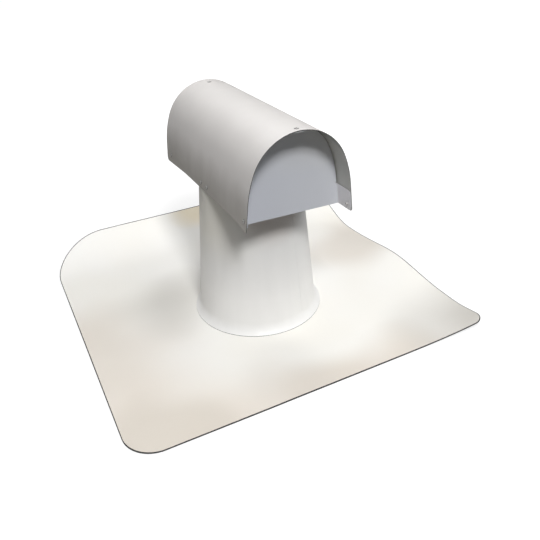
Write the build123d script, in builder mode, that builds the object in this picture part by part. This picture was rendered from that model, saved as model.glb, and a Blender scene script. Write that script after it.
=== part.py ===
from build123d import *
import os
from math import asin, atan, atan2, cos, degrees, sin, sqrt

os.makedirs("parts", exist_ok=True)

# Flashing sheet: plan distances are from the stack's axis, heights from the roof
sheet_thickness = 1.5
sheet_left = 302.0
sheet_right = 290.5
sheet_front = 252.0
sheet_back = 356.0
back_corner_radius = 113.0
front_left_corner_radius = 55.0
front_right_corner_radius = 20.0
trim_margin = 6.0

# Curl of the sheet's back edge, over most of its width
curl_start = 233.0
curl_lift = 34.0

# Right edge of the sheet, which ripples and curls up sooner
ripple_start = 100.0
ripple_blend = 10.0
ripple_front_lift = 9.0
ripple_dip_y = -154.0
ripple_dip_lift = 1.0
ripple_crest_y = -28.0
ripple_crest_lift = 14.0
right_curl_start = 146.0
right_curl_crease = 0.04
right_curl_mid_y = 221.0
right_curl_mid_lift = 21.0
right_curl_lift = 46.0

# Stack: a rolled cone with a flared foot
stack_base_radius = 101.5
stack_top_radius = 79.0
stack_height = 258.0
stack_wall = 1.2
foot_flare_width = 8.0
foot_flare_height = 20.0
duct_hole_inset = 3.5

# Lap seam up the stack
seam_angle = -68.0
seam_sweep = 10.0
seam_step = 0.4

# Hood: half-round cover whose legs lean with the stack's sides, the right one longer
hood_sheet = 0.8
hood_length = 327.0
hood_left_lap = 25.0
hood_right_lap = 39.0
hood_spring_lift = 4.0
hood_rise = 90.4
crown_inset = 5.5
hood_corner_radius = 5.0
seat_clearance = 0.05

# Baffles: arched end plates with three ears each
baffle_sheet = 0.8
baffle_recess = 35.0
baffle_drop = 10.0
baffle_corner_cut = 10.0
rear_set_in = 13.0
baffle_gap = 1.4
bend_radius = 1.5
bend_relief = 1.0
ear_height = 32.0
ear_lift = 0.5
ear_setback = 1.0
ear_corner_radius = 5.0
crown_ear_width = 24.0

# Blind rivets
rivet_radius = 1.6
rivet_head_radius = 3.2
rivet_head_height = 1.1
rivet_tail_radius = 2.3
rivet_tail_length = 2.8
rivet_hole_clearance = 0.1
rivet_hole_reach = 20.0
rivet_tail_clearance = 0.1
rivet_end_inset = 9.0
rivet_leg_height = 10.0
stack_rivet_spacing = 24.0
stack_rivet_shift = -9.5

# Values that follow from the sizes above
stack_taper = (stack_base_radius - stack_top_radius) / stack_height
lean = atan(stack_taper)
foot_radius = stack_base_radius + foot_flare_width
duct_hole_radius = stack_base_radius - duct_hole_inset
hood_left_bottom = stack_height - hood_left_lap
hood_right_bottom = stack_height - hood_right_lap
hood_spring = stack_height + hood_spring_lift
hood_ridge = hood_spring + hood_rise
hood_end = hood_length / 2
baffle_left_bottom = hood_left_bottom - baffle_drop
baffle_right_bottom = hood_right_bottom + ear_lift
baffle_front = -(hood_end - baffle_recess)
baffle_back = baffle_front + baffle_sheet
ear_end = -(hood_end - ear_setback)
rivet_end_y = -(hood_end - rivet_end_inset)
rivet_hole_radius = rivet_radius + rivet_hole_clearance


def stack_radius(height):
    """Outer radius of the cone at a height above the roof."""
    return stack_base_radius - stack_taper * height


def leg_reach(out):
    """Distance from the foot of the cone's axis to a leg line, square to the leg."""
    return stack_base_radius * cos(lean) + seat_clearance + out


def leg_x(out, height):
    """Half width between the legs at a height, a distance out from the hood's inner face."""
    return (leg_reach(out) - height * sin(lean)) / cos(lean)


hood_half_width = leg_x(0, hood_spring)
crown_radius = hood_half_width - crown_inset
crown_centre = hood_ridge - crown_radius


def arch_height(out, x):
    """Height of the crown at a distance from the middle, a distance out from its inner face."""
    return crown_centre + sqrt((crown_radius + out) ** 2 - x**2)


def arch(out, right_bottom, left_bottom):
    """Draws the hood's section from leg to leg, a distance out from its inner face.

    A crown arc meets two larger side arcs, and these run straight on into the legs."""
    drop = hood_spring - crown_centre
    spare = hood_half_width * cos(lean) + drop * sin(lean) - crown_radius
    side_radius = (hood_half_width**2 + drop**2 - crown_radius**2) / (2 * spare)
    side_x = hood_half_width - side_radius * cos(lean)
    side_z = hood_spring - side_radius * sin(lean)
    meet = degrees(atan2(crown_centre - side_z, -side_x))
    turn = meet - degrees(lean)
    right_side = CenterArc((side_x, side_z), side_radius + out, degrees(lean), turn)
    CenterArc((0, crown_centre), crown_radius + out, meet, 180 - 2 * meet)
    left_side = CenterArc((-side_x, side_z), side_radius + out, 180 - meet, turn)
    right_leg = Line((leg_x(out, right_bottom), right_bottom), right_side @ 0)
    left_leg = Line(left_side @ 1, (-leg_x(out, left_bottom), left_bottom))
    return right_leg, left_leg


def hood_bottom(side):
    """Height of a leg's lower edge."""
    return hood_left_bottom if side < 0 else hood_right_bottom


def rivet_height(side):
    """Height of the rivets in a leg."""
    return hood_bottom(side) + rivet_leg_height


def leg_plane(side, y):
    """Plane on a leg's outer face at the height of its rivets, looking straight out of the hood."""
    height = rivet_height(side)
    point = (side * leg_x(hood_sheet, height), y, height)
    return Plane(origin=point, x_dir=(0, 1, 0), z_dir=(side * cos(lean), 0, sin(lean)))


def crown_plane(y):
    """Plane on top of the hood's ridge."""
    return Plane(origin=(0, y, arch_height(hood_sheet, 0)), z_dir=(0, 0, 1))


def baffle_rivet_planes(y):
    """Places of the three rivets that hold one baffle."""
    return [leg_plane(-1, y), leg_plane(1, y), crown_plane(y)]


def stack_rivet_places():
    """Side and place along the hood of the four rivets that hold its legs to the stack."""
    half = stack_rivet_spacing / 2
    return [(side, stack_rivet_shift + step) for side in (-1, 1) for step in (-half, half)]


def stack_rivet_planes():
    """Planes of the four rivets in the stack."""
    return [leg_plane(side, y) for side, y in stack_rivet_places()]


def stack_grip(side, y):
    """What a rivet in the stack passes through, as far as the wall's inner face at its bulb."""
    radius = stack_radius(rivet_height(side))
    inside = radius - stack_wall / cos(lean)
    bulb_edge = abs(y) + rivet_tail_radius
    wall_depth = radius - sqrt(inside**2 - bulb_edge**2)
    return hood_sheet + seat_clearance + wall_depth + rivet_tail_clearance


def rivet(grip):
    """A set blind rivet along Z: dome above its seat, shank through the grip, bulb below."""
    tail_end = -grip - rivet_tail_length
    with BuildPart() as one:
        with BuildSketch(Plane.XZ):
            with BuildLine():
                rim = (rivet_head_radius, 0)
                dome = TangentArc((0, rivet_head_height), rim, tangent=(1, 0))
                Polyline(
                    dome @ 1,
                    (rivet_radius, 0),
                    (rivet_radius, -grip),
                    (rivet_tail_radius, -grip),
                    (rivet_radius, tail_end),
                    (0, tail_end),
                    dome @ 0,
                )
            make_face()
        revolve(axis=Axis.Z)
    return one.part


def close_strip(low, back):
    """Closes two lower curves of the sheet into a strip of its thickness."""
    rise = Vector(0, sheet_thickness)
    for curve in (low, back):
        add(curve.moved(Location((0, sheet_thickness, 0))))
    Line(low @ 0, (low @ 0) + rise)
    Line(back @ 1, (back @ 1) + rise)


def flat_strip(x):
    """Section of the sheet where it lies flat and only its back edge curls up."""
    run = sheet_back - curl_start
    curl_radius = (run**2 + curl_lift**2) / (2 * curl_lift)
    curl_turn = degrees(asin((run + trim_margin) / curl_radius))
    with BuildSketch(Plane.YZ.offset(x)) as section:
        with BuildLine():
            low = Line((-sheet_front - trim_margin, 0), (curl_start, 0))
            back = JernArc(low @ 1, (1, 0), curl_radius, curl_turn)
            close_strip(low, back)
        make_face()
    return section.sketch


def rippled_strip(x):
    """Section of the sheet at its right edge."""
    with BuildSketch(Plane.YZ.offset(x)) as section:
        with BuildLine():
            low = Spline(
                (-sheet_front - trim_margin, ripple_front_lift),
                (ripple_dip_y, ripple_dip_lift),
                (ripple_crest_y, ripple_crest_lift),
                (right_curl_start, 0),
                tangents=((1, 0), (1, 0)),
            )
            back = Spline(
                low @ 1,
                (right_curl_mid_y, right_curl_mid_lift),
                (sheet_back + trim_margin, right_curl_lift),
                tangents=((1, right_curl_crease), (1, 0)),
            )
            close_strip(low, back)
        make_face()
    return section.sketch


# Flashing sheet: flat and rippled lengths, trimmed to its outline, with the duct hole
with BuildPart() as flashing_skirt:
    extrude(flat_strip(-sheet_left - trim_margin), amount=sheet_left + trim_margin + ripple_start)
    loft(
        [
            flat_strip(ripple_start),
            flat_strip(ripple_start + ripple_blend),
            rippled_strip(sheet_right + trim_margin),
        ]
    )
    with BuildSketch(Plane.XY.offset(-trim_margin)) as outline:
        with Locations(((sheet_right - sheet_left) / 2, (sheet_back - sheet_front) / 2)):
            Rectangle(sheet_left + sheet_right, sheet_front + sheet_back)
        fillet(outline.vertices().group_by(Axis.Y)[-1], radius=back_corner_radius)
        fillet(outline.vertices().group_by(Axis.Y)[0].sort_by(Axis.X)[0], radius=front_left_corner_radius)
        fillet(outline.vertices().group_by(Axis.Y)[0].sort_by(Axis.X)[-1], radius=front_right_corner_radius)
    outline_height = max(curl_lift, right_curl_lift) * 2 + trim_margin
    extrude(amount=outline_height, mode=Mode.INTERSECT)
    with BuildSketch(Plane.XY.offset(-trim_margin)):
        Circle(duct_hole_radius)
    extrude(amount=outline_height, mode=Mode.SUBTRACT)
flashing_skirt.part.label = "flashing_skirt"
export_step(flashing_skirt.part, "parts/flashing_skirt.step")

# Stack: cone and flared foot turned from one section, with the lap of its seam and the rivet holes
with BuildPart() as stack:
    inner_wall = stack_wall / cos(lean)
    with BuildSketch(Plane.XZ):
        with BuildLine():
            outer = Line(
                (stack_top_radius, stack_height),
                (stack_radius(foot_flare_height), foot_flare_height),
            )
            flare = TangentArc(outer @ 1, (foot_radius, sheet_thickness), tangent=outer % 1)
            inner = Line(
                (stack_top_radius - inner_wall, stack_height),
                (stack_radius(foot_flare_height) - inner_wall, foot_flare_height),
            )
            lip = stack_wall / abs((flare % 1).Y)
            under = TangentArc(inner @ 1, (foot_radius - lip, sheet_thickness), tangent=inner % 1)
            Line(outer @ 0, inner @ 0)
            Line(flare @ 1, under @ 1)
        make_face()
    revolve(axis=Axis.Z)
    with BuildSketch(Plane.XZ.rotated((0, 0, seam_angle))):
        with BuildLine():
            lap_top = (stack_top_radius + seam_step, stack_height)
            lap_foot = (stack_radius(foot_flare_height) + seam_step, foot_flare_height)
            Polyline(outer @ 0, lap_top, lap_foot, outer @ 1, close=True)
        make_face()
    revolve(axis=Axis.Z, revolution_arc=seam_sweep)
    with Locations(*stack_rivet_planes()):
        Cylinder(rivet_hole_radius, rivet_hole_reach, mode=Mode.SUBTRACT)
stack.part.label = "stack"
export_step(stack.part, "parts/stack.step")

# Hood: folded half-round sheet with rounded leg corners and its ten rivet holes
with BuildPart() as hood:
    with BuildSketch(Plane.XZ):
        with BuildLine():
            outside = arch(hood_sheet, hood_right_bottom, hood_left_bottom)
            inside = arch(0, hood_right_bottom, hood_left_bottom)
            Line(outside[0] @ 0, inside[0] @ 0)
            Line(outside[1] @ 1, inside[1] @ 1)
        make_face()
    extrude(amount=hood_end, both=True)
    fillet(hood.edges().filter_by(Axis.X), radius=hood_corner_radius)
    rear_rivet_y = -rivet_end_y - rear_set_in
    ends = baffle_rivet_planes(rivet_end_y) + baffle_rivet_planes(rear_rivet_y)
    with Locations(*ends, *stack_rivet_planes()):
        Cylinder(rivet_hole_radius, rivet_hole_reach, mode=Mode.SUBTRACT)
hood.part.label = "hood"
export_step(hood.part, "parts/hood.step")

# Front baffle: arched plate, notched beside its ears, with two leg ears and a crown ear bent forward
with BuildPart() as front_baffle:
    bend_outer = bend_radius + baffle_sheet
    bend_notch = bend_outer + seat_clearance + bend_relief
    ear_root = bend_notch + bend_relief
    ear_top = baffle_right_bottom + ear_height
    notch_top = ear_top + bend_relief
    left_low = hood_left_bottom + ear_lift
    left_corner = -leg_x(-bend_notch, left_low)
    crown_seat = arch_height(0, crown_ear_width / 2) - seat_clearance
    with BuildSketch(Plane.XZ.offset(-baffle_back)):
        with BuildLine():
            right_edge, left_edge = arch(-baffle_gap, notch_top, notch_top)
            Polyline(
                right_edge @ 0,
                (leg_x(-bend_notch, notch_top), notch_top),
                (leg_x(-bend_notch, baffle_right_bottom), baffle_right_bottom),
                (left_corner + baffle_corner_cut, baffle_left_bottom),
                (left_corner, left_low),
                (-leg_x(-bend_notch, notch_top), notch_top),
                left_edge @ 1,
            )
        make_face()
        with Locations((0, crown_seat - bend_notch)):
            Rectangle(
                crown_ear_width + 2 * bend_relief,
                hood_rise,
                align=(Align.CENTER, Align.MIN),
                mode=Mode.SUBTRACT,
            )
    extrude(amount=baffle_sheet)
    for side in (-1, 1):
        ear_bottom = hood_bottom(side) + ear_lift
        root = side * (leg_x(-seat_clearance, ear_bottom) - ear_root)
        back_face = side * leg_x(-seat_clearance, ear_bottom)
        front_face = side * (leg_x(-seat_clearance, ear_bottom) - baffle_sheet)
        with BuildSketch(Plane.XY.offset(ear_bottom)):
            with BuildLine():
                bend_back = FilletPolyline(
                    (root, baffle_back),
                    (back_face, baffle_back),
                    (back_face, ear_end),
                    radius=bend_outer,
                )
                bend_front = FilletPolyline(
                    (root, baffle_front),
                    (front_face, baffle_front),
                    (front_face, ear_end),
                    radius=bend_radius,
                )
                Line(bend_back @ 0, bend_front @ 0)
                Line(bend_back @ 1, bend_front @ 1)
            make_face()
        extrude(amount=(ear_top - ear_bottom) / cos(lean), dir=(-side * sin(lean), 0, cos(lean)))
    fillet(front_baffle.edges().filter_by(Axis.X).group_by(Axis.Y)[0], radius=ear_corner_radius)
    with BuildSketch(Plane.YZ):
        with BuildLine():
            crown_back = FilletPolyline(
                (baffle_back, crown_seat - ear_root),
                (baffle_back, crown_seat),
                (ear_end, crown_seat),
                radius=bend_outer,
            )
            crown_front = FilletPolyline(
                (baffle_front, crown_seat - ear_root),
                (baffle_front, crown_seat - baffle_sheet),
                (ear_end, crown_seat - baffle_sheet),
                radius=bend_radius,
            )
            Line(crown_back @ 0, crown_front @ 0)
            Line(crown_back @ 1, crown_front @ 1)
        make_face()
    extrude(amount=crown_ear_width / 2, both=True)
    fillet(front_baffle.edges().filter_by(Axis.Z).group_by(Axis.Y)[0], radius=ear_corner_radius)
    with Locations(*baffle_rivet_planes(rivet_end_y)):
        Cylinder(rivet_hole_radius, rivet_hole_reach, mode=Mode.SUBTRACT)
front_baffle.part.label = "front_baffle"
export_step(front_baffle.part, "parts/front_baffle.step")

# Rear baffle: the front one turned to face the other end, set further in
with BuildPart() as rear_baffle:
    add(front_baffle.part.mirror(Plane.XZ).moved(Location((0, -rear_set_in, 0))))
rear_baffle.part.label = "rear_baffle"
export_step(rear_baffle.part, "parts/rear_baffle.step")

# Rivets: each grip is what the rivet passes through, from the hood's outer face inwards
leg_grip = hood_sheet + seat_clearance + baffle_sheet + rivet_tail_clearance
crown_gap = arch_height(0, 0) - crown_seat
crown_grip = hood_sheet + crown_gap + baffle_sheet + rivet_tail_clearance

with BuildPart() as front_baffle_rivets:
    front_planes = baffle_rivet_planes(rivet_end_y)
    with Locations(*front_planes[:2]):
        add(rivet(leg_grip))
    with Locations(front_planes[2]):
        add(rivet(crown_grip))
front_baffle_rivets.part.label = "front_baffle_rivets"
export_step(front_baffle_rivets.part, "parts/front_baffle_rivets.step")

with BuildPart() as rear_baffle_rivets:
    add(front_baffle_rivets.part.mirror(Plane.XZ).moved(Location((0, -rear_set_in, 0))))
rear_baffle_rivets.part.label = "rear_baffle_rivets"
export_step(rear_baffle_rivets.part, "parts/rear_baffle_rivets.step")

with BuildPart() as stack_rivets:
    for side, y in stack_rivet_places():
        with Locations(leg_plane(side, y)):
            add(rivet(stack_grip(side, y)))
stack_rivets.part.label = "stack_rivets"
export_step(stack_rivets.part, "parts/stack_rivets.step")
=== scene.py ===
from math import asin, atan, atan2, copysign, cos, hypot, pi, radians, sin, sqrt

import bmesh
import bpy
from mathutils import Matrix, Vector, noise
from mathutils.bvhtree import BVHTree


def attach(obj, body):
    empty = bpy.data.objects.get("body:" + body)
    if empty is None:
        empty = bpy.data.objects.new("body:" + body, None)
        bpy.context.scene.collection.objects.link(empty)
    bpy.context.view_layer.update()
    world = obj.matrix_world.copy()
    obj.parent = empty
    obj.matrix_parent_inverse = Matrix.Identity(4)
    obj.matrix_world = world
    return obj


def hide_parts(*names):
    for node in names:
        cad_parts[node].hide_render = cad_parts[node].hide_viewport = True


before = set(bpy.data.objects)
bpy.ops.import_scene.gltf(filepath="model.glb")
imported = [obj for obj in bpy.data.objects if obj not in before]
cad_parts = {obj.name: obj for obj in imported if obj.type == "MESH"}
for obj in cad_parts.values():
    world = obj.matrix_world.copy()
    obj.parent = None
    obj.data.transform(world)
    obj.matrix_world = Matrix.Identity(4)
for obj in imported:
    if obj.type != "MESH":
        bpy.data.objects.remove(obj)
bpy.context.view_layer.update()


# Flashing sheet: one thin piece of single-ply roofing membrane, white on top with a grey backing.
# It is cut with rounded corners and a round hole, and lies on the roof with its back edge curled up
# and its right edge rippled. Its form is taken from the sheet of the frame.
sheet_thickness = 0.0015
sheet_left, sheet_right, sheet_front, sheet_back = 0.302, 0.2905, 0.252, 0.356
back_corner, front_left_corner, front_right_corner = 0.113, 0.047, 0.020
duct_hole_radius = 0.098
sheet_rings = 52
outline_spacing, fewest_corner_steps = 0.005, 8
cast_height = 0.2
edge_inset = 0.0004
# Width of a band along the top of the sheet's edge that takes the near-black edge colour: a painted
# shadow line.
dark_edge_band = 0.0014
settle_passes, settle_share = 6, 0.5
lie_height, lie_cycles = 0.0005, 14
lie_start, lie_full = 0.12, 0.20
curl_left, curl_rear, curl_sag = 0.110, -0.148, 0.0026
sheet_crease = radians(40)
membrane_white = (0.93, 0.92, 0.89, 1)
membrane_cream = (0.91, 0.89, 0.83, 1)
# Painted shade colours for the sheet's patches below; the light warm beige after them is painted
# warm reflected light.
beige_painted_shade = (0.735, 0.675, 0.60, 1)
deep_beige_painted_shade = (0.575, 0.53, 0.46, 1)
grey_painted_shade = (0.58, 0.56, 0.52, 1)
warm_painted_bounce = (0.95, 0.86, 0.68, 1)
# Grey core and backing, near black so that the cut edge and the band above it also carry a painted
# shadow line.
backing_and_edge_shadow = (0.022, 0.022, 0.021, 1)
backing_light = (0.042, 0.041, 0.040, 1)
# Patches of painted shade where the sheet is shaded by its tilt, its curled edges and the hood and
# stack, and one of painted warm reflected light in the hood's shadow behind the stack.
sheet_painted_patches = (
    # centre, radius of the core, radius of the fringe, share in the core, painted colour
    ((-0.33, -0.01, 0), 0.05, 0.23, 0.8, beige_painted_shade),
    ((-0.27, -0.25, 0), 0.05, 0.20, 0.9, beige_painted_shade),
    ((-0.13, -0.29, 0), 0.05, 0.17, 0.8, beige_painted_shade),
    ((0.02, -0.29, 0), 0.05, 0.12, 0.9, beige_painted_shade),
    ((0.14, -0.28, 0), 0.04, 0.12, 0.9, beige_painted_shade),
    ((-0.24, -0.26, 0), 0.06, 0.12, 0.4, deep_beige_painted_shade),
    ((-0.05, -0.17, 0), 0.02, 0.11, 0.22, grey_painted_shade),
    ((0.30, -0.27, 0), 0.05, 0.21, 1.0, grey_painted_shade),
    ((0.26, 0.08, 0.02), 0.04, 0.14, 0.7, beige_painted_shade),
    ((-0.15, 0.075, 0), 0.03, 0.12, 0.6, grey_painted_shade),
    ((0.03, 0.36, 0.02), 0.04, 0.09, 1.0, warm_painted_bounce),
)
ragged_cycles, ragged_reach = 5, 0.03
blotch_cycles, blotch_window, blotch_share = 4, (0.38, 0.66), 0.8
even_window, upper_window = (0.3, 0.7), (0.35, 0.7)
membrane_roughness, membrane_smooth, membrane_rough = 0.55, 0.50, 0.64
gloss_cycles = 40
scrim_cycles, grain_cycles, membrane_relief = 105, 1300, (0.12, 0.0003)
backing_roughness, fibre_cycles = 0.7, 260
backing_grain_cycles, backing_relief = 900, (0.2, 0.0003)


def mesh_object(name, bm, smooth=True):
    """Turns a bmesh into a finished object at the origin."""
    mesh = bpy.data.meshes.new(name)
    bm.to_mesh(mesh)
    bm.free()
    mesh.polygons.foreach_set("use_smooth", [smooth] * len(mesh.polygons))
    piece = bpy.data.objects.new(name, mesh)
    bpy.context.scene.collection.objects.link(piece)
    return piece


def applied(piece):
    """Bakes a piece's modifiers into its mesh."""
    graph = bpy.context.evaluated_depsgraph_get()
    finished = bpy.data.meshes.new_from_object(piece.evaluated_get(graph))
    piece.modifiers.clear()
    piece.data = finished
    return piece


def give_wall(piece, thickness, crease_angle):
    """Gives a skin its thickness, with its second material on cut edges and its third inside."""
    wall = piece.modifiers.new("wall", "SOLIDIFY")
    wall.thickness = thickness
    wall.offset = -1
    wall.use_even_offset = True
    wall.material_offset_rim = 1
    wall.material_offset = 2
    applied(piece)
    piece.data.set_sharp_from_angle(angle=crease_angle)
    return piece


def outline_point(side_x, side_y, corner, from_angle, share):
    """Point on the rounded corner between two sides, by its share of the quarter turn."""
    turn = from_angle + share * pi / 2
    x = side_x - copysign(corner, side_x)
    y = side_y - copysign(corner, side_y)
    return x + corner * cos(turn), y + corner * sin(turn)


def sheet_outline():
    """Outline of the sheet, counterclockwise, at an even spacing."""
    corners = [
        (sheet_right, -sheet_front, front_right_corner, -pi / 2),
        (sheet_right, sheet_back, back_corner, 0),
        (-sheet_left, sheet_back, back_corner, pi / 2),
        (-sheet_left, -sheet_front, front_left_corner, pi),
    ]
    points = []
    for rounding, after in zip(corners, corners[1:] + corners[:1]):
        corner = rounding[2]
        steps = max(fewest_corner_steps, round(corner * pi / 2 / outline_spacing))
        points += [outline_point(*rounding, i / steps) for i in range(steps)]
        here = Vector(outline_point(*rounding, 1))
        there = Vector(outline_point(*after, 0))
        steps = round((there - here).length / outline_spacing)
        points += [tuple(here.lerp(there, i / steps)) for i in range(steps)]
    return points


def part_way(value, start, end):
    """How far a value is from a start to an end, from 0 to 1."""
    return max(0, min(1, (value - start) / (end - start)))


def curled(x, y, z):
    """Height of the sheet with the curl of its front right corner drawn closer to the corner."""
    across = part_way(x, curl_left, sheet_right)
    ahead = part_way(y, curl_rear, -sheet_front)
    sag = curl_sag * across * sin(pi * ahead) ** 2
    lift = (z - sheet_thickness) * (1 - ahead * (1 - across)) - sag
    return sheet_thickness + max(0, lift)


def sheet_height(tree, x, y):
    """Height of the frame's sheet under a point, cast a little inside its edges."""
    reach = hypot(x, y)
    inset = edge_inset if reach > 2 * duct_hole_radius else -edge_inset
    pull = 1 - inset / reach
    hit = tree.ray_cast(Vector((x * pull, y * pull, cast_height)), Vector((0, 0, -1)))[0]
    return curled(x, y, hit.z) if hit else sheet_thickness


def flashing_skin():
    """Top face of the sheet: rings from the duct hole to the outline, the last a narrow band at its
    edge in the near-black edge colour, a painted shadow line.
    """
    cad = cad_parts["flashing_skirt"].data
    tree = BVHTree.FromPolygons([v.co for v in cad.vertices], [p.vertices for p in cad.polygons])
    outline = sheet_outline()
    bm = bmesh.new()
    rings = []
    for ring in range(sheet_rings + 2):
        share = min(1, ring / sheet_rings)
        row = []
        for x, y in outline:
            reach = hypot(x, y)
            outer = reach - dark_edge_band if ring <= sheet_rings else reach
            place = Vector((x, y)) / reach * (duct_hole_radius + (outer - duct_hole_radius) * share)
            row.append(bm.verts.new((place.x, place.y, sheet_height(tree, place.x, place.y))))
        rings.append(row)
    count = len(outline)
    for inner, outer in zip(rings, rings[1:]):
        for i in range(count):
            j = (i + 1) % count
            face = bm.faces.new((inner[i], outer[i], outer[j], inner[j]))
            # The outermost band takes the near-black edge colour as a painted shadow line.
            face.material_index = 1 if outer is rings[-1] else 0
    inside = [v for row in rings[1:-2] for v in row]
    for _ in range(settle_passes):
        bmesh.ops.smooth_vert(bm, verts=inside, factor=settle_share, use_axis_z=True)
    for v in bm.verts:
        away = part_way(hypot(v.co.x, v.co.y), lie_start, lie_full)
        v.co.z += lie_height * away * (1 + noise.noise(v.co * lie_cycles))
    return bm


def new_material(name, colour, roughness, metallic=0.0):
    """A material with its shader's plain values set, and its node tree."""
    material = bpy.data.materials.new(name)
    material.use_nodes = True
    tree = material.node_tree
    shader = tree.nodes["Principled BSDF"]
    shader.inputs["Base Color"].default_value = colour
    shader.inputs["Roughness"].default_value = roughness
    shader.inputs["Metallic"].default_value = metallic
    return material, tree, shader


def feed(tree, socket, value):
    """Gives a socket a plain value or another node's output."""
    if isinstance(value, bpy.types.NodeSocket):
        tree.links.new(value, socket)
    else:
        socket.default_value = value


def object_place(tree, scale=(1, 1, 1)):
    """Object coordinates, stretched for a pattern with a direction."""
    place = tree.nodes.new("ShaderNodeTexCoord")
    mapping = tree.nodes.new("ShaderNodeMapping")
    mapping.inputs["Scale"].default_value = scale
    tree.links.new(place.outputs["Object"], mapping.inputs["Vector"])
    return mapping.outputs["Vector"]


def cloud(tree, place, scale, detail=4.0):
    """Value of a noise pattern, with its scale in cycles per metre."""
    pattern = tree.nodes.new("ShaderNodeTexNoise")
    pattern.inputs["Scale"].default_value = scale
    pattern.inputs["Detail"].default_value = detail
    tree.links.new(place, pattern.inputs["Vector"])
    return pattern.outputs["Fac"]


def spread(tree, value, low, high, to_low, to_high, manner="LINEAR"):
    """Maps part of a pattern's range on to another range."""
    ranged = tree.nodes.new("ShaderNodeMapRange")
    ranged.interpolation_type = manner
    tree.links.new(value, ranged.inputs["Value"])
    for name, limit in zip(
        ("From Min", "From Max", "To Min", "To Max"), (low, high, to_low, to_high)
    ):
        feed(tree, ranged.inputs[name], limit)
    return ranged.outputs["Result"]


def blend_colours(tree, share, first, second):
    """Colour between two, by a pattern; each is a colour or another blend."""
    mixed = tree.nodes.new("ShaderNodeMix")
    mixed.data_type = "RGBA"
    tree.links.new(share, mixed.inputs["Factor"])
    feed(tree, mixed.inputs["A"], first)
    feed(tree, mixed.inputs["B"], second)
    return mixed.outputs["Result"]


def raise_surface(tree, shader, height, strength, depth):
    """Fine relief on a shader, from a pattern's height."""
    relief = tree.nodes.new("ShaderNodeBump")
    relief.inputs["Strength"].default_value = strength
    relief.inputs["Distance"].default_value = depth
    tree.links.new(height, relief.inputs["Height"])
    tree.links.new(relief.outputs["Normal"], shader.inputs["Normal"])


def added(tree, first, second, operation="ADD"):
    """Two pattern values joined by an operation."""
    join = tree.nodes.new("ShaderNodeMath")
    join.operation = operation
    for socket, value in zip(join.inputs, (first, second)):
        feed(tree, socket, value)
    return join.outputs["Value"]


def axes_of(tree, vector):
    """The outputs X, Y and Z of a vector."""
    parts = tree.nodes.new("ShaderNodeSeparateXYZ")
    tree.links.new(vector, parts.inputs["Vector"])
    return parts.outputs


def patch(tree, place, centre, core, fringe, share):
    """Share of a soft, uneven patch around a place: full in its core and none past its fringe."""
    away = tree.nodes.new("ShaderNodeVectorMath")
    away.operation = "DISTANCE"
    tree.links.new(place, away.inputs[0])
    away.inputs[1].default_value = centre
    uneven = cloud(tree, place, ragged_cycles, 1)
    stray = spread(tree, uneven, *even_window, -ragged_reach, ragged_reach)
    ragged = added(tree, away.outputs["Value"], stray)
    return spread(tree, ragged, core, fringe, share, 0, "SMOOTHSTEP")


def painted_patches_over(tree, place, colour, patches):
    """A colour with soft patches of painted light and shade over it."""
    for centre, core, fringe, share, painted_tone in patches:
        spot = patch(tree, place, centre, core, fringe, share)
        colour = blend_colours(tree, spot, colour, painted_tone)
    return colour


def membrane():
    """White membrane: faint blotches, patches of painted light and shade, fine grain and the scrim
    showing through.
    """
    material, tree, shader = new_material("membrane", membrane_white, membrane_roughness)
    place = object_place(tree)
    blotch = spread(tree, cloud(tree, place, blotch_cycles, 2), *blotch_window, 0, blotch_share)
    colour = blend_colours(tree, blotch, membrane_white, membrane_cream)
    # Patches of painted shade and painted reflected light over the membrane's colour.
    tree.links.new(painted_patches_over(tree, place, colour, sheet_painted_patches), shader.inputs["Base Color"])
    sheen = cloud(tree, place, gloss_cycles)
    roughness = spread(tree, sheen, *even_window, membrane_smooth, membrane_rough)
    tree.links.new(roughness, shader.inputs["Roughness"])
    threads = []
    for direction in ("X", "Y"):
        weave = tree.nodes.new("ShaderNodeTexWave")
        weave.bands_direction = direction
        weave.inputs["Scale"].default_value = scrim_cycles
        tree.links.new(place, weave.inputs["Vector"])
        threads.append(weave.outputs["Fac"])
    scrim = added(tree, threads[0], threads[1], "MULTIPLY")
    grain = cloud(tree, place, grain_cycles, 2)
    raise_surface(tree, shader, added(tree, scrim, grain), *membrane_relief)
    return material


def membrane_backing(name):
    """Grey core and backing of the membrane, as its cut edge and underside show it, near black so
    that the edge also carries a painted shadow line.
    """
    material, tree, shader = new_material(name, backing_and_edge_shadow, backing_roughness)
    place = object_place(tree)
    fibres = spread(tree, cloud(tree, place, fibre_cycles), *upper_window, 0, 1)
    colour = blend_colours(tree, fibres, backing_and_edge_shadow, backing_light)
    tree.links.new(colour, shader.inputs["Base Color"])
    raise_surface(tree, shader, cloud(tree, place, backing_grain_cycles, 2), *backing_relief)
    return material


flashing = mesh_object("flashing_sheet", flashing_skin())
for finish in (membrane(), membrane_backing("membrane_edge_and_shadow_line"), membrane_backing("membrane_back")):
    flashing.data.materials.append(finish)
give_wall(flashing, sheet_thickness, sheet_crease)
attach(flashing, "root")
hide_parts("flashing_skirt")


# Stack: a sheet with a white plastic coat, rolled to a cone and lapped along one side.
# Its foot is flared over a former and welded down on the flashing sheet.
stack_base, stack_top, stack_height = 0.1015, 0.079, 0.258
stack_wall = 0.0012
foot_flare_width, foot_flare_height = 0.008, 0.020
foot_lip = 0.0008
seam_angle, seam_sweep, seam_step = radians(-68), radians(10), 0.0004
seam_edge = radians(0.12)
stack_crease = radians(35)
stack_columns = 240
cone_rows, flare_rows = 24, 12
stack_white = (0.93, 0.925, 0.91, 1)
stack_shade = (0.88, 0.875, 0.86, 1)
# Painted shade: the coat greys towards the top of the stack, under the hood.
stack_upper_shade = (0.72, 0.72, 0.71, 1)
upper_shade_low, upper_shade_top = 0.06, 0.20
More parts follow.
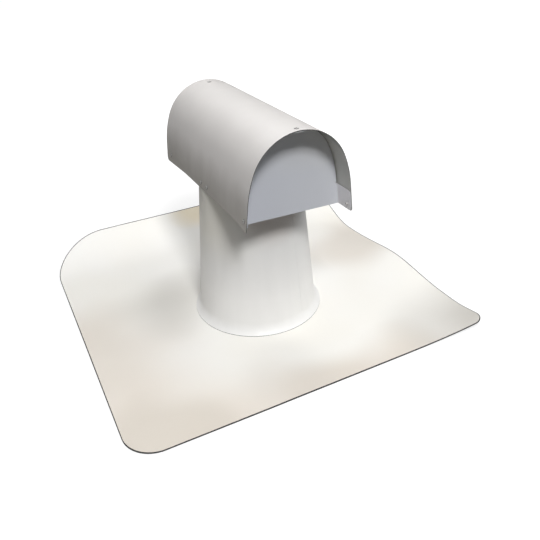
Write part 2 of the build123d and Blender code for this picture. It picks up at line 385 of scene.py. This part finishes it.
# Warm painted shade on the stack's left side, and a painted shadow under the hood's front.
stack_left_warm_shade = (0.78, 0.75, 0.64, 1)
under_hood_shadow = (0.50, 0.43, 0.39, 1)
stack_painted_patches = (
    ((-0.09, 0, 0.20), 0.03, 0.10, 0.5, stack_left_warm_shade),
    ((-0.01, -0.09, 0.235), 0.02, 0.08, 0.5, under_hood_shadow),
)
streak_stretch, streak_cycles, streak_window, streak_share = (1, 1, 0.12), 60, (0.3, 0.75), 0.6
coat_roughness, coat_smooth, coat_rough = 0.42, 0.38, 0.50
coat_gloss_cycles = 35
coat_grain_cycles, coat_relief = 420, (0.05, 0.0003)
edge_roughness, edge_metal, edge_cycles = 0.5, 0.5, 300
edge_steel = (0.09, 0.09, 0.087, 1)
edge_dull = (0.17, 0.17, 0.165, 1)
stack_taper = (stack_base - stack_top) / stack_height
lean = atan(stack_taper)


def flare_profile():
    """Foot of the stack: an arc that leaves the cone smoothly and ends in a lip on the sheet."""
    start = Vector((stack_base - stack_taper * foot_flare_height, foot_flare_height))
    end = Vector((stack_base + foot_flare_width, sheet_thickness + foot_lip))
    along = Vector((sin(lean), -cos(lean)))
    chord = end - start
    across = Vector((cos(lean), sin(lean)))
    radius = chord.length_squared / (2 * chord.dot(across))
    centre = start + across * radius
    turn = 2 * asin(chord.length / (2 * radius))
    points = []
    for row in range(1, flare_rows + 1):
        swing = turn * row / flare_rows
        points.append(centre - across * radius * cos(swing) + along * radius * sin(swing))
    return points + [end - Vector((0, foot_lip))]


def stack_skin():
    """Outer face of the stack, with the step of its lap seam."""
    profile = []
    for row in range(cone_rows + 1):
        z = stack_height + (foot_flare_height - stack_height) * row / cone_rows
        profile.append(Vector((stack_base - stack_taper * z, z)))
    profile += flare_profile()
    angles = [seam_angle + seam_edge + 2 * pi * i / stack_columns for i in range(stack_columns)]
    angles[-1] = seam_angle + 2 * pi - seam_edge
    bm = bmesh.new()
    columns = []
    for angle in angles:
        past = (angle - seam_angle) / seam_sweep
        lap = seam_step * (1 - past) if past < 1 else 0
        column = []
        for point in profile:
            fade = max(0, min(1, (point.y - sheet_thickness) / foot_flare_height))
            reach = point.x + lap * fade
            column.append(bm.verts.new((reach * cos(angle), reach * sin(angle), point.y)))
        columns.append(column)
    for left, right in zip(columns, columns[1:] + columns[:1]):
        for row in range(len(profile) - 1):
            face = bm.faces.new((left[row], left[row + 1], right[row + 1], right[row]))
            face.material_index = 1 if row == len(profile) - 2 else 0
    return bm


def coated_sheet():
    """White plastic coat: faint streaks down the cone, painted shade greying its upper part,
    patches of painted shade and a soft satin skin.
    """
    material, tree, shader = new_material("coated_sheet", stack_white, coat_roughness)
    drawn = cloud(tree, object_place(tree, streak_stretch), streak_cycles)
    streak = spread(tree, drawn, *streak_window, 0, streak_share)
    coat = blend_colours(tree, streak, stack_white, stack_shade)
    place = object_place(tree)
    # Painted shade, greying the stack towards its top.
    painted_shade_share = spread(tree, axes_of(tree, place)["Z"], upper_shade_low, upper_shade_top, 0, 1)
    colour = blend_colours(tree, painted_shade_share, coat, stack_upper_shade)
    tree.links.new(painted_patches_over(tree, place, colour, stack_painted_patches), shader.inputs["Base Color"])
    sheen = cloud(tree, place, coat_gloss_cycles)
    roughness = spread(tree, sheen, *even_window, coat_smooth, coat_rough)
    tree.links.new(roughness, shader.inputs["Roughness"])
    raise_surface(tree, shader, cloud(tree, place, coat_grain_cycles, 3), *coat_relief)
    return material


def cut_steel(name):
    """Bare sheared edge of a coated sheet: dull zinc with darker patches."""
    material, tree, shader = new_material(name, edge_steel, edge_roughness, edge_metal)
    patches = spread(tree, cloud(tree, object_place(tree), edge_cycles), *upper_window, 0, 1)
    colour = blend_colours(tree, patches, edge_steel, edge_dull)
    tree.links.new(colour, shader.inputs["Base Color"])
    return material


stack = mesh_object("vent_stack", stack_skin())
stack_coat = coated_sheet()
for finish in (stack_coat, cut_steel("stack_edge"), stack_coat):
    stack.data.materials.append(finish)
give_wall(stack, stack_wall, stack_crease)
for corner in stack.data.vertices:
    corner.co.z = max(corner.co.z, sheet_thickness)
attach(stack, "root")
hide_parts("stack")


# Baffles: arched end plates of prepainted steel, set back inside the hood.
# Each has two leg ears and a crown ear, bent out on a brake and riveted to the hood.
baffle_white = (0.63, 0.648, 0.69, 1)
baffle_shade = (0.60, 0.616, 0.655, 1)
# Painted shade darkening the baffles towards their left side.
baffle_left_shade = (0.50, 0.52, 0.575, 1)
# Warm painted shade in the baffles' crown, under the hood.
baffle_crown_warm_shade = (0.64, 0.635, 0.61, 1)
crown_shade_low, crown_shade_top = 0.275, 0.335
left_shade_half_width = 0.08
# Painted light on the ears, paler than the plate.
ear_painted_light = (0.84, 0.83, 0.86, 1)
baffle_roughness = 0.45
ear_light_window, level_face_window = (0.2, 0.8), (0.5, 0.8)
clouding_cycles, clouding_share = 18, 0.6
rub_cycles, rub_polish, rub_wear = 55, 0.05, 0.08
peel_cycles, paint_relief = 520, (0.06, 0.0002)
shade_limit_stretch, shade_limit_cycles, shade_limit_reach = (1, 1, 0.2), 30, 0.006


def prepainted(name, light, dark, roughness):
    """Satin stoved paint: slight clouding, orange peel and a few rubbed patches."""
    material, tree, shader = new_material(name, light, roughness)
    place = object_place(tree)
    clouding = spread(tree, cloud(tree, place, clouding_cycles), *upper_window, 0, clouding_share)
    tree.links.new(blend_colours(tree, clouding, light, dark), shader.inputs["Base Color"])
    rubs = cloud(tree, place, rub_cycles)
    rubbed = spread(tree, rubs, *even_window, roughness - rub_polish, roughness + rub_wear)
    tree.links.new(rubbed, shader.inputs["Roughness"])
    raise_surface(tree, shader, cloud(tree, place, peel_cycles, 2), *paint_relief)
    return material


def shaded_by_height(material, painted_tone, low, top, low_share, top_share):
    """Paint with painted shade whose share changes from one height to another, with a streaky
    limit.
    """
    tree = material.node_tree
    shader = tree.nodes["Principled BSDF"]
    clean = shader.inputs["Base Color"].links[0].from_socket
    drawn = cloud(tree, object_place(tree, shade_limit_stretch), shade_limit_cycles)
    streaks = spread(tree, drawn, *even_window, -shade_limit_reach, shade_limit_reach)
    height = added(tree, axes_of(tree, object_place(tree))["Z"], streaks)
    share = spread(tree, height, low, top, low_share, top_share)
    tree.links.new(blend_colours(tree, share, clean, painted_tone), shader.inputs["Base Color"])
    return material


def baffle_finish():
    """The baffles' paint, with warm painted shade in the crown, painted shade on the left, painted
    light on the ears and dark where its faces point up or down.
    """
    paint = prepainted("baffle_paint", baffle_white, baffle_shade, baffle_roughness)
    # Warm painted shade towards the crown.
    material = shaded_by_height(paint, baffle_crown_warm_shade, crown_shade_low, crown_shade_top, 0, 1)
    tree = material.node_tree
    shader = tree.nodes["Principled BSDF"]
    plain = shader.inputs["Base Color"].links[0].from_socket
    across = axes_of(tree, object_place(tree))["X"]
    # Painted shade towards the left.
    painted_shade_share = spread(tree, across, -left_shade_half_width, left_shade_half_width, 1, 0)
    plain = blend_colours(tree, painted_shade_share, plain, baffle_left_shade)
    surface = tree.nodes.new("ShaderNodeNewGeometry")
    facing = axes_of(tree, surface.outputs["True Normal"])
    # Painted light on the ears, and dark on the faces that point up or down.
    ear_light_share = spread(tree, added(tree, facing["Y"], 0, "ABSOLUTE"), *ear_light_window, 1, 0)
    cut = spread(tree, added(tree, facing["Z"], 0, "ABSOLUTE"), *level_face_window, 0, 1)
    ears = blend_colours(tree, ear_light_share, plain, ear_painted_light)
    tree.links.new(blend_colours(tree, cut, ears, edge_dull), shader.inputs["Base Color"])
    return material


baffle_paint = baffle_finish()
for name in ("front_baffle", "rear_baffle"):
    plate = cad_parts[name]
    plate.data.materials.clear()
    plate.data.materials.append(baffle_paint)


# Hood: half-round barrel cover rolled from prepainted steel, open at both ends and underneath.
# Its legs lean with the stack's sides and are riveted to it, the right one reaching lower. Three
# corners are rounded, the rear left one most; the front left one is sharp and bent a little out.
hood_sheet = 0.0008
hood_length, hood_spring_lift, hood_rise = 0.327, 0.004, 0.0904
hood_left_lap, hood_right_lap = 0.025, 0.039
crown_inset, hood_corner = 0.0055, 0.005
sharp_corner = 0.001
tip_run, tip_drop, tip_splay = 0.060, 0.0035, 0.0015
rear_run, rear_drop, rear_corner = 0.090, 0.0045, 0.008
seat_clearance = 0.00005
hood_stations, corner_stations = 48, 8
crown_steps, side_steps, leg_steps = 18, 14, 6
hood_crease = radians(35)
hood_white = (0.73, 0.708, 0.69, 1)
hood_shade = (0.69, 0.668, 0.65, 1)
# Painted shade on the hood's lower legs.
leg_painted_shade = (0.45, 0.43, 0.40, 1)
leg_shade_low, leg_shade_top = 0.240, 0.292
back_coat = (0.54, 0.542, 0.515, 1)
back_coat_shade = (0.49, 0.492, 0.47, 1)
# Painted shade inside the hood's crown.
inner_crown_shade = (0.20, 0.20, 0.19, 1)
inner_crown_shade_low, inner_crown_shade_top = 0.308, 0.345
hood_roughness, back_roughness = 0.4, 0.5
hood_end = hood_length / 2
hood_left_bottom = stack_height - hood_left_lap
hood_right_bottom = stack_height - hood_right_lap
hood_spring = stack_height + hood_spring_lift
hood_ridge = hood_spring + hood_rise


def leg_x(out, z):
    """Half width between the legs at a height, a distance out from the hood's inner face."""
    return (stack_base * cos(lean) + seat_clearance + out - z * sin(lean)) / cos(lean)


def half_section(out, bottom):
    """Right half of the hood's section, from the lower edge of its leg up to the crown."""
    half = leg_x(0, hood_spring)
    crown_radius = half - crown_inset
    crown_z = hood_ridge - crown_radius
    drop = hood_spring - crown_z
    spare = half * cos(lean) + drop * sin(lean) - crown_radius
    side_radius = (half**2 + drop**2 - crown_radius**2) / (2 * spare)
    side_x = half - side_radius * cos(lean)
    side_z = hood_spring - side_radius * sin(lean)
    meet = atan2(crown_z - side_z, -side_x)
    right = []
    for step in range(leg_steps):
        z = bottom + (hood_spring - bottom) * step / leg_steps
        right.append((leg_x(out, z), z))
    for step in range(side_steps):
        turn = lean + (meet - lean) * step / side_steps
        reach = side_radius + out
        right.append((side_x + reach * cos(turn), side_z + reach * sin(turn)))
    for step in range(crown_steps):
        turn = meet + (pi / 2 - meet) * step / crown_steps
        reach = crown_radius + out
        right.append((reach * cos(turn), crown_z + reach * sin(turn)))
    return right


def tip_share(y):
    """How far the left leg is bent at a place along the hood: wholly at its front tip."""
    return part_way(y, tip_run - hood_end, -hood_end) ** 2


def splayed(y, z):
    """How far the bent tip has moved the left leg out at a height."""
    return tip_splay * tip_share(y) * part_way(z, hood_spring, hood_left_bottom)


def corner_lift(edge, radius):
    """How much of a leg a rounded corner takes away, at a distance from the hood's end."""
    short = max(0, radius - edge)
    return radius - sqrt(radius**2 - short**2)


def hood_section(out, y):
    """Section of the hood, from its left leg over the crown to its right, at a place along it."""
    edge = hood_end - abs(y)
    rear_share = part_way(y, hood_end - rear_run, hood_end)
    left_bottom = hood_left_bottom - tip_drop * tip_share(y) - rear_drop * rear_share
    left_bottom += corner_lift(edge, sharp_corner if y < 0 else rear_corner)
    right_bottom = hood_right_bottom + corner_lift(edge, hood_corner)
    left = [(-x - splayed(y, z), z) for x, z in half_section(out, left_bottom)]
    return left + [(0, hood_ridge + out)] + half_section(out, right_bottom)[::-1]


def hood_skin():
    """Outer face of the hood, with its leg corners rounded off at both ends."""
    turns = [pi / 2 * i / corner_stations for i in range(corner_stations)]
    near_end = [rear_corner * (1 - cos(turn)) for turn in turns]
    stretch = hood_length - 2 * rear_corner
    run = [rear_corner + stretch * i / hood_stations for i in range(hood_stations + 1)]
    places = near_end + run + [hood_length - d for d in near_end[::-1]]
    bm = bmesh.new()
    rows = []
    for place in places:
        y = min(hood_end, max(-hood_end, place - hood_end))
        rows.append([bm.verts.new((x, y, z)) for x, z in hood_section(hood_sheet, y)])
    for front, rear in zip(rows, rows[1:]):
        for i in range(len(front) - 1):
            bm.faces.new((front[i], front[i + 1], rear[i + 1], rear[i]))
    return bm


hood = mesh_object("barrel_hood", hood_skin())
hood_coat = prepainted("hood_paint", hood_white, hood_shade, hood_roughness)
# Painted shade darkening the lower legs.
hood_paint = shaded_by_height(hood_coat, leg_painted_shade, leg_shade_low, leg_shade_top, 1, 0)
lining = prepainted("hood_back_coat", back_coat, back_coat_shade, back_roughness)
# Painted shade darkening the inside of the crown.
hood_back = shaded_by_height(lining, inner_crown_shade, inner_crown_shade_low, inner_crown_shade_top, 0, 1)
for finish in (hood_paint, cut_steel("hood_edge"), hood_back):
    hood.data.materials.append(finish)
give_wall(hood, hood_sheet, hood_crease)
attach(hood, "root")
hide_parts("hood")


# Rivets: painted blind rivets, three through the hood and the ears of each baffle and four
# through the hood's legs and the stack. Each has a low dome with the pulled pin in its middle and
# a bulb inside.
rivet_sizes = {
    "Head radius": 0.0032,
    "Head height": 0.0015,
    "Pin radius": 0.0013,
    "Pin depth": 0.0006,
    "Shank radius": 0.0016,
    "Bulb radius": 0.0023,
    "Bulb length": 0.0028,
}
rivet_end_inset, rear_set_in, rivet_leg_height = 0.009, 0.013, 0.010
stack_rivet_spacing, stack_rivet_shift = 0.024, -0.0095
leg_grip, crown_grip, rivet_gap = 0.00175, 0.00274, 0.00015
rivet_white = (0.66, 0.65, 0.635, 1)
rivet_shade = (0.56, 0.55, 0.535, 1)
pin_steel = (0.07, 0.07, 0.07, 1)
# Painted shadow ring round each rivet head's rim.
rim_painted_shadow = (0.10, 0.098, 0.094, 1)
bare_share = 0.35
ball_segments, ball_rings, bulb_sides = 28, 24, 24
below_equator = -0.001
pin_core, pin_fringe = 0.8, 1.1
rim_start, rim_end = 0.70, 0.96
rivet_crease = radians(50)
rivet_roughness = 0.42
chip_cycles, chip_window = 900, (0.4, 0.7)
rivet_grain_cycles, rivet_relief = 1500, (0.08, 0.0001)


def rivet_places():
    """Seat of each rivet on the hood's outer face, with the way that it faces and its grip."""
    ends = (rivet_end_inset - hood_end, hood_end - rivet_end_inset - rear_set_in)
    places = []
    for side, bottom in ((-1, hood_left_bottom), (1, hood_right_bottom)):
        z = bottom + rivet_leg_height
        seat_x = side * leg_x(hood_sheet, z)
        facing = (side * cos(lean), 0, sin(lean))
        for y in ends:
            splay = splayed(y, z) if side < 0 else 0
            places.append(((seat_x - splay, y, z), facing, leg_grip + splay))
        radius = stack_base - stack_taper * z
        for step in (-0.5, 0.5):
            y = stack_rivet_shift + step * stack_rivet_spacing
            bulb_edge = abs(y) + rivet_sizes["Bulb radius"]
            depth = radius - sqrt((radius - stack_wall) ** 2 - bulb_edge**2)
            places.append(((seat_x, y, z), facing, hood_sheet + depth + rivet_gap))
    places += [((0, y, hood_ridge + hood_sheet), (0, 0, 1), crown_grip) for y in ends]
    return places


def rivet_tree(paint):
    """Node tree that sets a blind rivet at each point of a mesh, facing along its attribute."""
    tree = bpy.data.node_groups.new("blind_rivets", "GeometryNodeTree")
    face = tree.interface
    face.new_socket("Places", in_out="INPUT", socket_type="NodeSocketGeometry")
    for name in rivet_sizes:
        face.new_socket(name, in_out="INPUT", socket_type="NodeSocketFloat")
    face.new_socket("Rivets", in_out="OUTPUT", socket_type="NodeSocketGeometry")
    new, link = tree.nodes.new, tree.links.new
    given = new("NodeGroupInput")
    result = new("NodeGroupOutput")

    def vector(x, y, z):
        node = new("ShaderNodeCombineXYZ")
        for socket, value in zip(node.inputs, (x, y, z)):
            feed(tree, socket, value)
        return node.outputs["Vector"]

    def scaled(direction, amount):
        node = new("ShaderNodeVectorMath")
        node.operation = "SCALE"
        link(direction, node.inputs[0])
        feed(tree, node.inputs["Scale"], amount)
        return node.outputs["Vector"]

    def attribute(name, kind):
        node = new("GeometryNodeInputNamedAttribute")
        node.data_type = kind
        node.inputs["Name"].default_value = name
        return node.outputs["Attribute"]

    def marked(shape, name, value):
        node = new("GeometryNodeStoreNamedAttribute")
        node.inputs["Name"].default_value = name
        link(shape, node.inputs["Geometry"])
        feed(tree, node.inputs["Value"], value)
        return node.outputs["Geometry"]

    def shifted(shape, offset):
        node = new("GeometryNodeSetPosition")
        link(shape, node.inputs["Geometry"])
        link(offset, node.inputs["Offset"])
        return node.outputs["Geometry"]

    def turned_to(direction):
        node = new("FunctionNodeAlignRotationToVector")
        node.axis = "Z"
        link(direction, node.inputs["Vector"])
        return node.outputs["Rotation"]

    def set_on(points, shape, rotation):
        node = new("GeometryNodeInstanceOnPoints")
        link(points, node.inputs["Points"])
        link(shape, node.inputs["Instance"])
        link(rotation, node.inputs["Rotation"])
        return node.outputs["Instances"]

    # Dome: the upper half of a ball, flattened to the head's height, sunk where the pin was pulled
    ball = new("GeometryNodeMeshUVSphere")
    ball.inputs["Segments"].default_value = ball_segments
    ball.inputs["Rings"].default_value = ball_rings
    ball.inputs["Radius"].default_value = 1
    at = axes_of(tree, new("GeometryNodeInputPosition").outputs["Position"])
    lower = new("FunctionNodeCompare")
    lower.operation = "LESS_THAN"
    link(at["Z"], lower.inputs["A"])
    lower.inputs["B"].default_value = below_equator
    cut = new("GeometryNodeDeleteGeometry")
    link(ball.outputs["Mesh"], cut.inputs["Geometry"])
    link(lower.outputs["Result"], cut.inputs["Selection"])
    squash = new("GeometryNodeTransform")
    link(cut.outputs["Geometry"], squash.inputs["Geometry"])
    radius, height = given.outputs["Head radius"], given.outputs["Head height"]
    link(vector(radius, radius, height), squash.inputs["Scale"])
    away = new("ShaderNodeVectorMath")
    away.operation = "LENGTH"
    link(vector(at["X"], at["Y"], 0), away.inputs[0])
    reach = away.outputs["Value"]

    def ramp(size, start, end, from_share, to_share):
        first, last = added(tree, size, start, "MULTIPLY"), added(tree, size, end, "MULTIPLY")
        return spread(tree, reach, first, last, from_share, to_share, "SMOOTHSTEP")

    pin = ramp(given.outputs["Pin radius"], pin_core, pin_fringe, 1, 0)
    # Share of the painted shadow ring round the head's rim.
    rim = ramp(radius, rim_start, rim_end, 0, 1)
    dome = marked(marked(squash.outputs["Geometry"], "pin", pin), "rim", rim)
    depth = added(tree, pin, given.outputs["Pin depth"], "MULTIPLY")
    head = shifted(dome, vector(0, 0, added(tree, depth, -1, "MULTIPLY")))

    # Bulb: the part of the sleeve that the pull spread behind the sheets
    bulb = new("GeometryNodeMeshCone")
    bulb.inputs["Vertices"].default_value = bulb_sides
    link(given.outputs["Shank radius"], bulb.inputs["Radius Top"])
    link(given.outputs["Bulb radius"], bulb.inputs["Radius Bottom"])
    link(given.outputs["Bulb length"], bulb.inputs["Depth"])
    tail = marked(bulb.outputs["Mesh"], "pin", bare_share)

    outward = attribute("facing", "FLOAT_VECTOR")
    inward = scaled(outward, -1)
    seats = given.outputs["Places"]
    behind = shifted(seats, scaled(inward, attribute("grip", "FLOAT")))
    joined = new("GeometryNodeJoinGeometry")
    link(set_on(seats, head, turned_to(outward)), joined.inputs["Geometry"])
    link(set_on(behind, tail, turned_to(inward)), joined.inputs["Geometry"])
    real = new("GeometryNodeRealizeInstances")
    link(joined.outputs["Geometry"], real.inputs["Geometry"])
    painted = new("GeometryNodeSetMaterial")
    painted.inputs["Material"].default_value = paint
    link(real.outputs["Geometry"], painted.inputs["Geometry"])
    link(painted.outputs["Geometry"], result.inputs["Rivets"])
    return tree


def rivet_paint():
    """Painted aluminium head, chipped a little, with a painted shadow ring round its rim and the
    bare steel pin in its middle.
    """
    material, tree, shader = new_material("rivet_paint", rivet_white, rivet_roughness)
    place = object_place(tree)
    chips = spread(tree, cloud(tree, place, chip_cycles), *chip_window, 0, 1)
    paint = blend_colours(tree, chips, rivet_white, rivet_shade)
    for name, colour in (("rim", rim_painted_shadow), ("pin", pin_steel)):
        mark = tree.nodes.new("ShaderNodeAttribute")
        mark.attribute_name = name
        paint = blend_colours(tree, mark.outputs["Fac"], paint, colour)
    tree.links.new(paint, shader.inputs["Base Color"])
    raise_surface(tree, shader, cloud(tree, place, rivet_grain_cycles, 2), *rivet_relief)
    return material


rivet_seats = rivet_places()
seats = bpy.data.meshes.new("blind_rivets")
seats.from_pydata([place for place, facing, grip in rivet_seats], [], [])
seats.attributes.new("facing", "FLOAT_VECTOR", "POINT")
seats.attributes.new("grip", "FLOAT", "POINT")
for index, (place, facing, grip) in enumerate(rivet_seats):
    seats.attributes["facing"].data[index].vector = facing
    seats.attributes["grip"].data[index].value = grip
rivets = bpy.data.objects.new("blind_rivets", seats)
bpy.context.scene.collection.objects.link(rivets)
setting = rivets.modifiers.new("rivets", "NODES")
setting.node_group = rivet_tree(rivet_paint())
for socket in setting.node_group.interface.items_tree:
    if socket.name in rivet_sizes:
        setting[socket.identifier] = rivet_sizes[socket.name]
applied(rivets)
rivets.data.polygons.foreach_set("use_smooth", [True] * len(rivets.data.polygons))
rivets.data.set_sharp_from_angle(angle=rivet_crease)
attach(rivets, "root")
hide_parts("front_baffle_rivets", "rear_baffle_rivets", "stack_rivets")


# Studio: a white floor that takes the vent's soft shadow, a key lamp high in front of the vent and
# weaker softboxes above it and on its other sides.
floor_half, floor_sink = 40.0, 0.0006
floor_pale = (0.3, 0.3, 0.3, 1)
floor_take = 0.42
glow_near, glow_far = 0.66, 1.0
shadow_near, shadow_far = 0.45, 1.1
world_level = 0.01
lamp_aim = Vector((0, 0, 0.15))
lamps = (
    # name, place, width, power
    ("key_lamp", (-0.33, -1.672, 2.043), 0.5, 45),
    ("top_lamp", (0, -0.1, 2.2), 1.6, 4),
    ("left_lamp", (-1.35, 0, 1.85), 1.2, 7),
    ("right_lamp", (1.0, 0, 1.9), 1.2, 9),
    ("low_right_lamp", (1.3, -0.7, 1.4), 1.2, 6.5),
    ("back_lamp", (0, 1.2, 1.7), 1.2, 8.5),
)


def white_floor():
    """Floor paint that the camera sees as white, darkened only by the shadow on it."""
    material = bpy.data.materials.new("white_floor")
    material.use_nodes = True
    tree = material.node_tree
    tree.nodes.clear()
    new, link = tree.nodes.new, tree.links.new
    plain = new("ShaderNodeBsdfDiffuse")
    plain.inputs["Color"].default_value = floor_pale
    seen = new("ShaderNodeBsdfDiffuse")
    seen.inputs["Color"].default_value = (floor_take, floor_take, floor_take, 1)
    glow = new("ShaderNodeEmission")
    reach = new("ShaderNodeVectorMath")
    reach.operation = "LENGTH"
    link(object_place(tree), reach.inputs[0])
    brighten = spread(tree, reach.outputs["Value"], shadow_near, shadow_far, glow_near, glow_far)
    link(brighten, glow.inputs["Strength"])
    both = new("ShaderNodeAddShader")
    link(seen.outputs["BSDF"], both.inputs[0])
    link(glow.outputs["Emission"], both.inputs[1])
    rays = new("ShaderNodeLightPath")
    choose = new("ShaderNodeMixShader")
    link(rays.outputs["Is Camera Ray"], choose.inputs["Fac"])
    link(plain.outputs["BSDF"], choose.inputs[1])
    link(both.outputs["Shader"], choose.inputs[2])
    out = new("ShaderNodeOutputMaterial")
    link(choose.outputs["Shader"], out.inputs["Surface"])
    return material


ground = bmesh.new()
bmesh.ops.create_grid(ground, x_segments=1, y_segments=1, size=floor_half)
bmesh.ops.translate(ground, verts=ground.verts, vec=(0, 0, -floor_sink))
floor = mesh_object("floor", ground, smooth=False)
floor.data.materials.append(white_floor())

world = bpy.data.worlds.new("studio")
bpy.context.scene.world = world
world.use_nodes = True
studio = world.node_tree
sky = studio.nodes["Background"]
sky.inputs["Color"].default_value = (1, 1, 1, 1)
rays = studio.nodes.new("ShaderNodeLightPath")
strength = spread(studio, rays.outputs["Is Camera Ray"], 0, 1, world_level, 1)
studio.links.new(strength, sky.inputs["Strength"])

for name, place, width, power in lamps:
    lamp = bpy.data.lights.new(name, "AREA")
    lamp.shape = "SQUARE"
    lamp.size = width
    lamp.energy = power
    stand = bpy.data.objects.new(name, lamp)
    stand.location = place
    stand.rotation_euler = (lamp_aim - Vector(place)).to_track_quat("-Z", "Y").to_euler()
    bpy.context.scene.collection.objects.link(stand)


# Camera: to the left of the open front end and above it, with a slight roll.
camera_place = (-0.3516, -0.7932, 0.5883)
camera_azimuth, camera_elevation = radians(-25.473), radians(31.340)
camera_roll = radians(-2.914)
camera_lens, camera_sensor = 39.07, 36
camera = bpy.data.objects.new("camera", bpy.data.cameras.new("camera"))
camera.data.sensor_width = camera_sensor
camera.data.lens = camera_lens
aside = Matrix.Rotation(camera_azimuth, 4, "Z")
tilt = Matrix.Rotation(pi / 2 - camera_elevation, 4, "X")
roll = Matrix.Rotation(camera_roll, 4, "Z")
camera.matrix_world = Matrix.Translation(camera_place) @ aside @ tilt @ roll
bpy.context.scene.collection.objects.link(camera)
bpy.context.scene.camera = camera
bpy.context.scene.view_settings.view_transform = "Standard"
